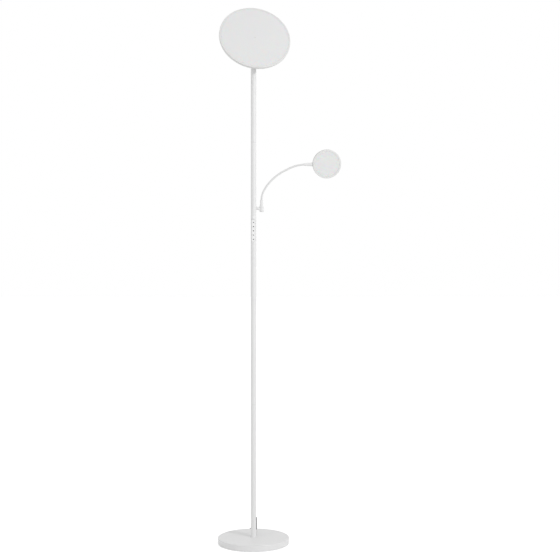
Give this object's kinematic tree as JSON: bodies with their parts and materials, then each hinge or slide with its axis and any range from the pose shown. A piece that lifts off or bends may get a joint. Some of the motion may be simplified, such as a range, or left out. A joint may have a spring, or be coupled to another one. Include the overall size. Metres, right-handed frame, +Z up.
{
  "type": "floor lamp",
  "caption": "White floor lamp: round weighted base, slim pole, large tilting light disc on top, and a bendable side arm with a small round reading light.",
  "frame": {"origin": "centre of the base's underside, on the floor, in line with the pole", "axes": "+Z up along the pole, -Y towards the front that the light disc and the keys face, +X to the lamp's right-hand side as seen from the front, where the arm is"},
  "size_m": [0.4162, 0.2828, 1.8055],
  "materials": {
    "white_paint": "satin white powder coat",
    "white_plastic": "satin white moulded plastic",
    "opal_plastic": "opal diffuser sheet, fine matt face",
    "strip_plastic": "white control strip",
    "neck_skin": "white plastic sleeve over a bendable metal core",
    "key_black": "black keys",
    "cord_black": "black flexible plastic",
    "tie_black": "woven hook-and-loop tie",
    "steel": "bright zinc-plated steel",
    "iron": "cast base weight, dark primer",
    "pad_grey": "dark foam rubber pad",
    "board_green": "green circuit board",
    "board_white": "white-coated aluminium circuit board",
    "switch_black": "switch bodies",
    "bush_nylon": "natural nylon",
    "washer_black": "black friction washers",
    "reflector_white": "white reflector sheet",
    "guide_clear": "clear acrylic light guide",
    "led_yellow": "strip of light diodes",
    "back_aluminium": "white painted aluminium sheet",
    "plug_black": "moulded black plug"
  },
  "bodies": {
    "stand": {"base_pad": "pad_grey", "base_weight": "iron", "base_cover": "white_paint", "anchor_bolt": "steel", "anchor_washer": "steel", "foot_collar": "white_paint", "foot_plug": "steel", "lower_tube": "white_paint", "middle_tube": "white_paint", "upper_tube": "white_paint", "top_tube": "white_paint", "tube_couplers": "steel", "middle_coupler": "steel", "top_bush": "bush_nylon", "pole_wire": "cord_black", "control_bezel": "strip_plastic", "control_board": "board_green", "tact_switches": "switch_black", "arm_bracket": "white_paint", "cord_boot": "cord_black", "supply_lead": "cord_black", "lead_hank": "cord_black", "hank_tie": "tie_black", "lead_connector": "plug_black"},
    "key_1": {"button_1": "key_black"},
    "key_2": {"button_2": "key_black"},
    "key_3": {"button_3": "key_black"},
    "key_4": {"button_4": "key_black"},
    "key_5": {"button_5": "key_black"},
    "arm": {"arm_sleeve": "white_paint", "swivel_clip": "steel", "neck_link_1": "neck_skin"},
    "neck_2": {"neck_link_2": "neck_skin"},
    "neck_3": {"neck_link_3": "neck_skin"},
    "neck_4": {"neck_link_4": "neck_skin"},
    "neck_5": {"neck_link_5": "neck_skin"},
    "neck_6": {"neck_link_6": "neck_skin", "neck_ferrule": "white_paint", "ferrule_screw": "steel"},
    "reading_light": {"reading_housing": "white_plastic", "reading_ring": "white_plastic", "reading_lens": "opal_plastic", "reading_board": "board_white", "reading_screws": "steel"},
    "swivel": {"yoke": "white_paint", "pan_clip": "steel", "tilt_pin": "steel", "tilt_nut": "steel", "tilt_washers": "washer_black"},
    "light_disc": {"disc_hub": "white_plastic", "disc_driver": "board_green", "disc_back": "back_aluminium", "disc_rim": "white_plastic", "disc_reflector": "reflector_white", "disc_guide": "guide_clear", "disc_led_ring": "led_yellow", "disc_diffuser": "opal_plastic", "disc_pin": "steel", "disc_screws": "steel"}
  },
  "joints": [
    {"name": "head_pan", "type": "hinge", "parent": "stand", "child": "swivel", "pos_m": [0, 0, 1.66], "axis": [0, 0, 1], "range_deg": [-165, 165]},
    {"name": "head_tilt", "type": "hinge", "parent": "swivel", "child": "light_disc", "pos_m": [0, 0, 1.683], "axis": [0.9789, 0.2045, 0], "range_deg": [-69.6, 19.4]},
    {"name": "arm_swivel", "type": "hinge", "parent": "stand", "child": "arm", "pos_m": [0.027, 0, 1.12], "axis": [0, 0, 1], "range_deg": [-120, 120]},
    {"name": "neck_bend", "type": "hinge", "parent": "arm", "child": "neck_2", "pos_m": [0.03492, 0.00094, 1.18561], "axis": [-0.1184, 0.993, 0], "range_deg": [-8, 8]},
    {"name": "neck_bend_2", "type": "hinge", "parent": "neck_2", "child": "neck_3", "pos_m": [0.05382, 0.0032, 1.21357], "axis": [-0.1184, 0.993, 0], "range_deg": [-8, 8]},
    {"name": "neck_bend_3", "type": "hinge", "parent": "neck_3", "child": "neck_4", "pos_m": [0.0784, 0.00613, 1.23665], "axis": [-0.1184, 0.993, 0], "range_deg": [-8, 8]},
    {"name": "neck_bend_4", "type": "hinge", "parent": "neck_4", "child": "neck_5", "pos_m": [0.10676, 0.00951, 1.25484], "axis": [-0.1184, 0.993, 0], "range_deg": [-8, 8]},
    {"name": "neck_bend_5", "type": "hinge", "parent": "neck_5", "child": "neck_6", "pos_m": [0.13749, 0.01317, 1.26862], "axis": [-0.1184, 0.993, 0], "range_deg": [-8, 8]},
    {"name": "reading_roll", "type": "hinge", "parent": "neck_6", "child": "reading_light", "pos_m": [0.19874, 0.02048, 1.27646], "axis": [0.992, 0.1183, 0.0436], "range_deg": [-57, 76]},
    {"name": "key_press_1", "type": "slide", "parent": "stand", "child": "key_1", "axis": [0, 1, 0], "range_m": [0, 0.0005], "stiffness_N_per_m": 900, "springref_m": -0.0003},
    {"name": "key_press_2", "type": "slide", "parent": "stand", "child": "key_2", "axis": [0, 1, 0], "range_m": [0, 0.0005], "stiffness_N_per_m": 900, "springref_m": -0.0003},
    {"name": "key_press_3", "type": "slide", "parent": "stand", "child": "key_3", "axis": [0, 1, 0], "range_m": [0, 0.0005], "stiffness_N_per_m": 900, "springref_m": -0.0003},
    {"name": "key_press_4", "type": "slide", "parent": "stand", "child": "key_4", "axis": [0, 1, 0], "range_m": [0, 0.0005], "stiffness_N_per_m": 900, "springref_m": -0.0003},
    {"name": "key_press_5", "type": "slide", "parent": "stand", "child": "key_5", "axis": [0, 1, 0], "range_m": [0, 0.0005], "stiffness_N_per_m": 900, "springref_m": -0.0003}
  ]
}
